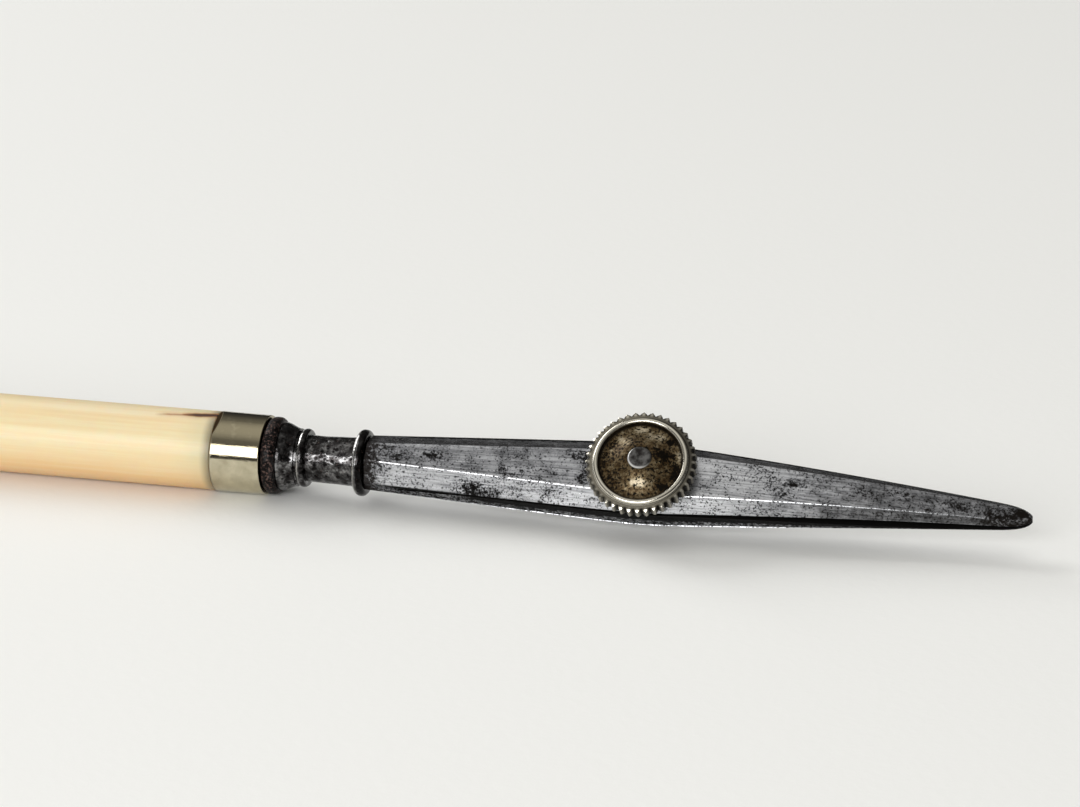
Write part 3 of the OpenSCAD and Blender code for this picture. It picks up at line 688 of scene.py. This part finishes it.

# Bone, turned and polished by hand: warm and a little clear, with faint lengthwise canals; shade by the
# ferrule and on the underside is painted
bone = {"pale": "#f3dab4", "warm": "#f1d3a8", "streak": "#eecd9f", "warmUnderShade": "#dfa05a", "crack": "#3f1d05",
        "crackEdge": "#9c6a35", "ferruleShadeTone": "#dccca4", "contactShade": "#7d7358",
        "streakWidth": 0.55, "streakLength": 22.22, "cloud": 9.09}
boneMaterial, add, shader, axes = newMaterial("boneTurnedPolished", {
    "Roughness": 0.4, "IOR": 1.54, "Subsurface Radius": (1.0, 0.55, 0.26), "Subsurface Scale": 0.008})
fine = 1 / bone["streakWidth"]
long = add("VectorMath", (axes, (1 / bone["streakLength"], fine, fine)), **times)
streaks = add("TexNoise", {"Vector": long, "Scale": 1.0, "Detail": 5.0, "Roughness": 0.55, "Distortion": 0.3})
cloud = add("TexNoise", {"Vector": axes, "Scale": 1 / bone["cloud"], "Detail": 2.0})
base = add("ValToRGB", (streaks,), stops=(
    (0.3, bone["streak"]), (0.45, bone["warm"]), (0.58, bone["pale"]), (0.7, bone["pale"])))
base = add("Mix", {0: add("MapRange", (cloud, 0.4, 0.65, 0.0, 0.5)), 6: base, 7: bone["warm"]}, **blend)
alongX = add("SeparateXYZ", (axes,))
# painted shade: the bone greys towards the ferrule
ferruleShade = add("MapRange", (alongX, -4.0, 0.0, 0.0, 0.65), **smooth)
base = add("Mix", {0: ferruleShade, 6: base, 7: bone["ferruleShadeTone"]}, **blend)
upward = add("VectorMath", (axes, upAxis), out="Value", operation="DOT_PRODUCT")
underShade = add("MapRange", (upward, 1.0, -3.4, 0.0, 0.6), **smooth)  # painted warm shade, oranger towards the underside, standing in for light glowing through the bone
base = add("Mix", {0: underShade, 6: base, 7: bone["warmUnderShade"]}, **blend)
contactShade = add("MapRange", (alongX, -1.0, 0.0, 0.0, 0.8), **smooth)  # painted contact shade, darkest where the bone meets the metal
base = add("Mix", {0: contactShade, 6: base, 7: bone["contactShade"]}, **blend)
crack = add("Attribute", out="Fac", attribute_name="crack")
base = add("Mix", {0: add("MapRange", (crack, 0.0, 0.45)), 6: base, 7: bone["crackEdge"]}, **blend)
base = add("Mix", {0: add("MapRange", (crack, 0.35, 0.9)), 6: base, 7: bone["crack"]}, **blend)
plug(shader, {
    "Base Color": base,
    "Subsurface Weight": add("MapRange", (crack, 0.0, 1.0, 0.6, 0.0)),  # dirt in the crack stops the light
    "Normal": add("Bump", {"Height": streaks, "Strength": 0.25, "Distance": 0.00002})})

# Nickel silver, drawn and polished: a warm white metal with fine scratches round it, grime and painted shade
# at the rear rim, and painted shade on its upper side
nickel = {"bright": "#d4ccb2", "dull": "#9a9179", "grimeAndShade": "#2e200c", "scratch": 0.12, "scratchLength": 2.0,
          "rub": 0.15, "rubLength": 2.5, "film": 1.0}
ferruleMaterial, add, shader, axes = newMaterial("nickelSilverPolished", {"Specular IOR Level": 0.05})
ring = add("VectorMath", (axes, (1 / nickel["scratch"], *[1 / nickel["scratchLength"]] * 2)), **times)
scratches = add("TexNoise", {"Vector": ring, "Scale": 1.0, "Detail": 4.0, "Roughness": 0.6})
long = add("VectorMath", (axes, (1 / nickel["rubLength"], *[1 / nickel["rub"]] * 2)), **times)
rubs = add("TexNoise", {"Vector": long, "Scale": 1.0, "Detail": 4.0, "Roughness": 0.65})
film = add("TexNoise", {"Vector": axes, "Scale": 0.9 / nickel["film"], "Detail": 4.0})
grimeAndShade = add("Attribute", out="Fac", attribute_name="grimeAndShade")
upward = add("VectorMath", (axes, upAxis), out="Value", operation="DOT_PRODUCT")
topShade = add("MapRange", (upward, -0.6, 2.2))  # painted shade: duller and darker on the upper side
dulled = add("MapRange", (add("Math", (film, 1.6, topShade), **timesPlus), 0.55, 1.7))
base = add("Mix", {0: dulled, 6: nickel["bright"], 7: nickel["dull"]}, **blend)
rough = add("MapRange", (film, 0.3, 0.7, 0.06, 0.13))
bump = add("Bump", {"Height": scratches, "Strength": 0.12, "Distance": 0.000008})
bump = add("Bump", {"Height": rubs, "Strength": 0.4, "Distance": 0.000012, "Normal": bump})
plug(shader, {
    "Base Color": add("Mix", {0: grimeAndShade, 6: base, 7: nickel["grimeAndShade"]}, **blend),
    "Metallic": add("Math", (1.0, grimeAndShade), operation="SUBTRACT"),
    "Roughness": add("Math", (grimeAndShade, 0.5, rough), **timesPlus),
    "Normal": add("Bump", {"Height": film, "Strength": 0.3, "Distance": 0.00003, "Normal": bump})})

# Nickel silver, turned and milled, with brown patina left in the dome under painted shade and light, and dirt
# and painted shade beside the bead and in the teeth
patina = {"metal": "#c6c1b4", "olive": "#7d786c", "moss": "#685b44", "brown": "#42331f", "pale": "#b3a78f",
          "black": "#0d0a06", "speck": 0.17, "patch": 0.45}
headMaterial, add, shader, axes = newMaterial("nickelSilverPatinated", {"Specular IOR Level": 0.05})
inDome, dirtAndShade, tarnish, paintedShade, paintedLight = [add("Attribute", out="Fac", attribute_name=key)
                                        for key in ("patina", "dirtAndShade", "tarnish", "paintedShade", "paintedLight")]
mottle = add("TexNoise", {"Vector": axes, "Scale": 0.9 / patina["patch"], "Detail": 9.0, "Roughness": 0.8})
fleck = add("TexNoise", {"Vector": axes, "Scale": 0.75 / patina["speck"], "Detail": 4.0, "Roughness": 0.62})
metal = add("Mix", {0: tarnish, 6: patina["metal"], 7: patina["olive"]}, **blend)
# painted light lifts the dome's tone, painted shade lowers it and adds black specks
shade = add("Math", (paintedShade, -0.14, add("Math", (paintedLight, 0.3, mottle), **timesPlus)), **timesPlus)
stain = add("ValToRGB", (shade,), stops=(
    (0.34, patina["black"]), (0.46, patina["brown"]), (0.58, patina["moss"]), (0.8, patina["pale"])))
base = add("Mix", {0: inDome, 6: metal, 7: stain}, **blend)
dark = add("MapRange", (add("Math", (paintedShade, 0.2, fleck), **timesPlus), 0.52, 0.57, 0.0, 0.97))
dark = add("Math", (add("Math", (dark, inDome), **times), dirtAndShade), **larger)
rough = add("Math", (inDome, 0.17, 0.13), **timesPlus)
plug(shader, {
    "Base Color": add("Mix", {0: dark, 6: base, 7: patina["black"]}, **blend),
    "Metallic": add("MapRange", (add("Math", (dark, inDome), **larger), 0.0, 1.0, 1.0, 0.35)),
    "Roughness": add("Math", (dark, 0.3, rough), **timesPlus),
    "Normal": add("Bump", {"Height": fleck, "Strength": 0.3, "Distance": 0.00002})})

# Steel, turned, then bitten by rust and blackened; bare metal shows where it was handled
oxide = {"black": "#292727", "dark": "#4f4e4e", "grey": "#979696", "bare": "#dad8d4", "rust": "#5c4943",
         "crust": "#070505", "grain": 0.17, "stipple": 0.18, "patch": 0.7}
bolsterMaterial, add, shader, axes = newMaterial("steelRustBlackened", {"Specular IOR Level": 0.08})
pit, rust, worn = [add("Attribute", out="Fac", attribute_name=key) for key in ("pit", "rust", "worn")]
patch = add("TexNoise", {"Vector": axes, "Scale": 0.9 / oxide["patch"], "Detail": 7.0, "Roughness": 0.7})
grain = add("TexNoise", {"Vector": axes, "Scale": 0.9 / oxide["grain"], "Detail": 4.0, "Roughness": 0.62})
spots = add("TexNoise", {"Vector": axes, "Scale": 0.9 / oxide["stipple"], "Detail": 2.0, "Roughness": 0.6})
base = add("ValToRGB", (patch,), stops=((0.4, oxide["black"]), (0.5, oxide["dark"]), (0.64, oxide["grey"])))
base = add("Mix", {0: add("MapRange", (pit, 0.2, 0.55, 0.0, 0.9)), 6: base, 7: oxide["crust"]}, **blend)
stipple = add("ValToRGB", (spots,), stops=((0.52, oxide["crust"]), (0.63, oxide["rust"])))
speckle = add("MapRange", (grain, 0.3, 0.44, 0.8, 0.0))
crusted = add("Math", (rust, 0.9, speckle), use_clamp=True, **timesPlus)
base = add("Mix", {0: crusted, 6: base, 7: stipple}, **blend)
bare = add("Math", (add("MapRange", (grain, 0.4, 0.66, 1.0, 0.4)), worn), use_clamp=True, **times)
plug(shader, {
    "Base Color": add("Mix", {0: bare, 6: base, 7: oxide["bare"]}, **blend),
    "Metallic": add("MapRange", (crusted, 0.0, 1.0, 1.0, 0.3)),
    "Roughness": add("MapRange", (crusted, 0.0, 1.0, 0.17, 0.5)),
    "Normal": add("Bump", {"Height": grain, "Strength": 0.3, "Distance": 0.00003})})

# Steel, filed and stoned lengthwise, pitted in patches, with dried ink and painted shade in the slot and on
# the far bevel, and soot at the nib
filed = {"bright": "#c2c3c7", "dull": "#626366", "stain": "#37383b", "pit": "#0c0a09", "soot": "#17130f",
         "ink": "#0b0a09", "rust": "#16100c", "worn": "#dcdde0",
         "lineWidth": 0.16, "lineLength": 11.11, "cloud": 1.0, "pitSize": 0.3, "speckSize": 0.13}
bladeMaterial, add, shader, axes = newMaterial("steelFiledPitted", {"Specular IOR Level": 0.06})
pitting, soot, ink, rust, worn, polish, honed = [
    add("Attribute", out="Fac", attribute_name=key)
    for key in ("pitting", "soot", "ink", "rust", "worn", "polish", "honed")]
long = add("VectorMath", (axes, (1 / filed["lineLength"], *[1 / filed["lineWidth"]] * 2)), **times)
lines = add("TexNoise", {"Vector": long, "Scale": 1.0, "Detail": 4.0, "Roughness": 0.6})
cloud = add("TexNoise", {"Vector": axes, "Scale": 0.7 / filed["cloud"], "Detail": 7.0, "Roughness": 0.7})
blot = add("TexNoise", {"Vector": axes, "Scale": 0.75 / filed["pitSize"], "Detail": 6.0, "Roughness": 0.72})
speck = add("TexNoise", {"Vector": axes, "Scale": 0.75 / filed["speckSize"], "Detail": 3.0, "Roughness": 0.6})
base = add("ValToRGB", (lines,), stops=((0.3, filed["dull"]), (0.62, filed["bright"])))
base = add("Mix", {0: add("MapRange", (cloud, 0.42, 0.66, 0.0, 0.7)), 6: base, 7: filed["stain"]}, **blend)
shine = add("Math", (polish, add("MapRange", (lines, 0.4, 0.58, 0.4, 1.0))), **times)
base = add("Mix", {0: shine, 6: base, 7: filed["worn"]}, **blend)
wornShare = add("Math", (add("MapRange", (speck, 0.48, 0.64, 1.0, 0.2)), worn), **times)
base = add("Mix", {0: wornShare, 6: base, 7: filed["worn"]}, **blend)
large = add("MapRange", (add("Math", (pitting, 0.24, blot), **timesPlus), 0.6, 0.7))  # pits, and specks
small = add("Math", (cloud, 0.4, add("Math", (pitting, 0.12, speck), **timesPlus)), **timesPlus)
pitShare = add("Math", (large, add("MapRange", (small, 0.76, 0.83, 0.0, 0.95))), **larger)
base = add("Mix", {0: pitShare, 6: base, 7: filed["pit"]}, **blend)
sootShare = add("MapRange", (add("Math", (blot, 0.8, soot), **timesPlus), 0.5, 1.2, 0.0, 0.95))
base = add("Mix", {0: sootShare, 6: base, 7: filed["soot"]}, **blend)
rustShare = add("MapRange", (add("Math", (blot, 2.0, rust), **timesPlus), 1.48, 1.85, 0.0, 0.95))
base = add("Mix", {0: rustShare, 6: base, 7: filed["rust"]}, **blend)
# dried ink and painted shade
inkShare = add("MapRange", (add("Math", (blot, 1.2, ink), **timesPlus), 0.85, 1.3))
base = add("Mix", {0: inkShare, 6: base, 7: filed["ink"]}, **blend)
dull = add("Math", (add("Math", (pitShare, inkShare), **larger), rustShare), **larger)
rough = add("MapRange", (lines, 0.3, 0.7, 0.4, 0.26))
for share, change in ((dull, 0.3), (wornShare, -0.2), (honed, -0.21)):
    rough = add("Math", (share, change, rough), **timesPlus)
bump = add("Bump", {"Height": lines, "Strength": 0.35, "Distance": 0.00001})
plug(shader, {
    "Base Color": base, "Metallic": add("MapRange", (dull, 0.0, 1.0, 1.0, 0.3)), "Roughness": rough,
    "Normal": add("Bump", {"Height": pitShare, "Strength": 0.35, "Distance": 0.00003, "Normal": bump},
                  invert=True)})

# Steel, turned, cut with a thread and riveted over; a little stained
rivet = {"bare": "#6d6c6b", "stain": "#2b2827", "worn": "#dddcda", "mottle": 0.5}
screwMaterial, add, shader, axes = newMaterial("steelTurnedRiveted", {"Metallic": 1.0, "Roughness": 0.28})
mottle = add("TexNoise", {"Vector": axes, "Scale": 0.7 / rivet["mottle"], "Detail": 5.0, "Roughness": 0.6})
base = add("Mix", {0: add("MapRange", (mottle, 0.4, 0.62)), 6: rivet["bare"], 7: rivet["stain"]}, **blend)
# worn rivet edge, with its painted highlight
worn = add("Attribute", out="Fac", attribute_name="worn")
plug(shader, {
    "Base Color": add("Mix", {0: worn, 6: base, 7: rivet["worn"]}, **blend),
    "Normal": add("Bump", {"Height": mottle, "Strength": 0.4, "Distance": 0.00003})})

for node, material in (("handle", boneMaterial), ("ferrule", ferruleMaterial), ("bolster", bolsterMaterial),
                       ("back_blade", bladeMaterial), ("front_blade", bladeMaterial),
                       ("adjusting_screw", screwMaterial), ("milled_head", headMaterial)):
    pieces[node].data.materials.clear()
    pieces[node].data.materials.append(material)
print("materials set")


# Floor: a matt painted off-white board under the ferrule, the lowest point; its grain gives a faint tooth
floorValues = {"colour": "#f4f4f1", "half": 2.5, "grain": 0.9}
half, low = floorValues["half"], cadLow.z
floorMesh = bpy.data.meshes.new("floorBoard")
floorMesh.from_pydata([(-half, -half, low), (half, -half, low), (half, half, low), (-half, half, low)], [],
                      [(0, 1, 2, 3)])
floor = bpy.data.objects.new("floorBoard", floorMesh)
bpy.context.scene.collection.objects.link(floor)
floorMaterial, add, shader, axes = newMaterial("boardMattPainted", {
    "Roughness": 0.75, "Base Color": linear(floorValues["colour"])})
grain = add("TexNoise", {"Vector": axes, "Scale": 1 / floorValues["grain"], "Detail": 3.0})
plug(shader, {"Normal": add("Bump", {"Height": grain, "Strength": 0.5, "Distance": 0.00004})})
floorMesh.materials.append(floorMaterial)

# Light: a window behind on the left, a wide soft source behind the camera, and a room dark at the horizon
lightValues = {"window": {"at": (-1.3, 0.78, 0.98), "size": (1.24, 1.0), "radiance": 5.4},
               "softbox": {"at": (-0.15, -0.955, 0.435), "size": (0.75, 0.5), "radiance": 6.7}}
target = Vector((0.02, 0.0, 0.0))
for name, values in lightValues.items():
    lamp = bpy.data.lights.new(name, "AREA")
    lamp.shape, (lamp.size, lamp.size_y) = "RECTANGLE", values["size"]
    lamp.energy = values["radiance"] * math.pi * lamp.size * lamp.size_y
    lampObject = bpy.data.objects.new(name, lamp)
    lampObject.location = values["at"]
    lampObject.rotation_euler = (target - lampObject.location).to_track_quat("-Z", "Y").to_euler()
    bpy.context.scene.collection.objects.link(lampObject)

# Room: grey below and pale above, with a low pale wall to the left that brightens the rear edges
roomValues = {"sky": ((0.0, "#383736"), (0.25, "#414040"), (0.5, "#63625f"), (0.8, "#9c9b98"),
                      (0.94, "#e9e8e4"), (1.0, "#f3f2ee")),
              "left": 1.7, "wallFrom": -0.5, "wallFull": -0.95, "wallTop": 0.1, "wallFade": 0.42}
world = bpy.data.worlds.new("room")
bpy.context.scene.world = world
world.use_nodes = True
tree = world.node_tree
add = partial(addNode, tree)
direction = add("TexCoord", out="Generated")
across, height = add("SeparateXYZ", (direction,)), add("SeparateXYZ", (direction,), out="Z")
dim = tree.nodes["Background"]
plug(dim, {"Color": add("ValToRGB", (height,), stops=roomValues["sky"])})
pale = add("MapRange", (across, roomValues["wallFrom"], roomValues["wallFull"], 0.0, roomValues["left"]),
           **smooth)
low = add("MapRange", (height, roomValues["wallTop"], roomValues["wallFade"], 1.0, 0.0), **smooth)
wall = add("Background", {"Strength": add("Math", (pale, low), **times)})
plug(tree.nodes["World Output"], {"Surface": add("AddShader", (dim.outputs[0], wall))})
print("stage lit")

# Camera: the photograph's view, for a 1080 by 807 frame whose size is not set here, a 100 mm lens on a 36 mm
# sensor
viewpoint = {"at": (0.07990, -0.23512, 0.09965), "right": (0.97722, 0.21221, 0.00115),
             "down": (0.07740, -0.35135, -0.93304), "lens": 100.0, "sensor": 36.0, "clipStart": 0.01}
camera = bpy.data.objects.new("camera", bpy.data.cameras.new("camera"))
camera.data.lens, camera.data.sensor_width = viewpoint["lens"], viewpoint["sensor"]
camera.data.clip_start = viewpoint["clipStart"]
right = Vector(viewpoint["right"]).normalized()
up = -Vector(viewpoint["down"])
up = (up - right * up.dot(right)).normalized()
turn = Matrix((right, up, right.cross(up))).transposed().to_4x4()
camera.matrix_world = Matrix.Translation(viewpoint["at"]) @ turn
bpy.context.scene.collection.objects.link(camera)
bpy.context.scene.camera = camera
bpy.context.scene.view_settings.view_transform = "Standard"
print("camera set")
